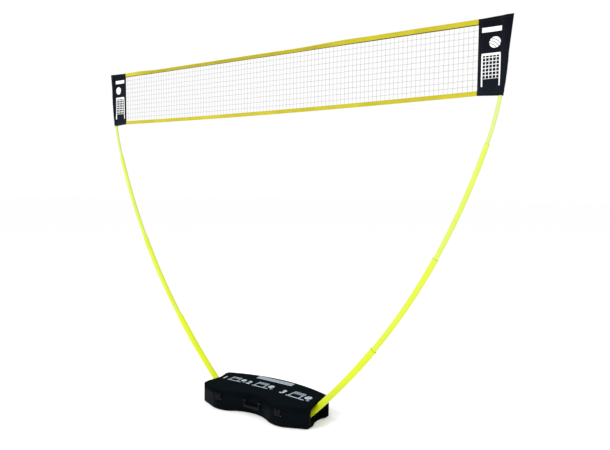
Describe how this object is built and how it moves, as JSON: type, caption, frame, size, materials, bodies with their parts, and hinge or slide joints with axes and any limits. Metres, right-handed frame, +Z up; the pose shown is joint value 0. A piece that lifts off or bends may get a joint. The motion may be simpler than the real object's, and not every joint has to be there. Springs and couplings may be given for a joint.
{
  "type": "volleyball net on poles",
  "caption": "Portable volleyball net: a moulded carrying case serves as the foot, bowed telescoping poles stand in its ends and hold a net with tapes and sleeve panels.",
  "frame": {"origin": "on the floor, midway between the poles and in their plane, at the middle of the centre foot under the case", "axes": "+X along the net towards the right pole, +Y towards the back of the case, where the lid's hinges are, +Z up"},
  "size_m": [3.048, 0.4286, 2.3389],
  "materials": {
    "case_plastic": "black moulded plastic, semi-gloss with a fine grain",
    "trim_plastic": "charcoal moulded plastic",
    "pin_steel": "plated steel",
    "foot_rubber": "dull black rubber",
    "pole_yellow": "bright lemon yellow, smooth and glossy",
    "net_twine": "thin grey knotted twine",
    "tape_webbing": "golden yellow folded webbing, stitched",
    "panel_cloth": "near-black navy woven cloth with hems and a white print"
  },
  "bodies": {
    "case": {"tray": "case_plastic", "hinge_pins": "pin_steel", "latch_pins": "pin_steel", "handle_pins": "pin_steel", "feet": "foot_rubber", "left_peg": "trim_plastic", "right_peg": "trim_plastic", "peg_screws": "pin_steel", "left_tube_1": "pole_yellow", "left_tube_2": "pole_yellow", "left_tube_3": "pole_yellow", "left_tube_4": "pole_yellow", "right_tube_1": "pole_yellow", "right_tube_2": "pole_yellow", "right_tube_3": "pole_yellow", "right_tube_4": "pole_yellow", "left_mouth_rings": "trim_plastic", "right_mouth_rings": "trim_plastic", "left_slide_rings": "trim_plastic", "right_slide_rings": "trim_plastic", "left_tip_cap": "trim_plastic", "right_tip_cap": "trim_plastic", "net_mesh": "net_twine", "top_tape": "tape_webbing", "bottom_tape": "tape_webbing", "left_panel": "panel_cloth", "right_panel": "panel_cloth"},
    "lid": {"lid": "case_plastic"},
    "left_latch": {"left_latch": "trim_plastic"},
    "right_latch": {"right_latch": "trim_plastic"},
    "carry_handle": {"carry_handle": "trim_plastic"}
  },
  "joints": [
    {"name": "lid_hinge", "type": "hinge", "parent": "case", "child": "lid", "pos_m": [0, 0.209, 0.098], "axis": [-1, 0, 0], "range_deg": [0, 105]},
    {"name": "left_latch_pivot", "type": "hinge", "parent": "case", "child": "left_latch", "pos_m": [-0.241, -0.2071, 0.074], "axis": [1, 0, 0], "range_deg": [0, 180]},
    {"name": "right_latch_pivot", "type": "hinge", "parent": "case", "child": "right_latch", "pos_m": [0.241, -0.2071, 0.074], "axis": [1, 0, 0], "range_deg": [0, 180]},
    {"name": "handle_swing", "type": "hinge", "parent": "case", "child": "carry_handle", "pos_m": [0, -0.15337, 0.089], "axis": [-1, 0, 0], "range_deg": [0, 180]}
  ]
}
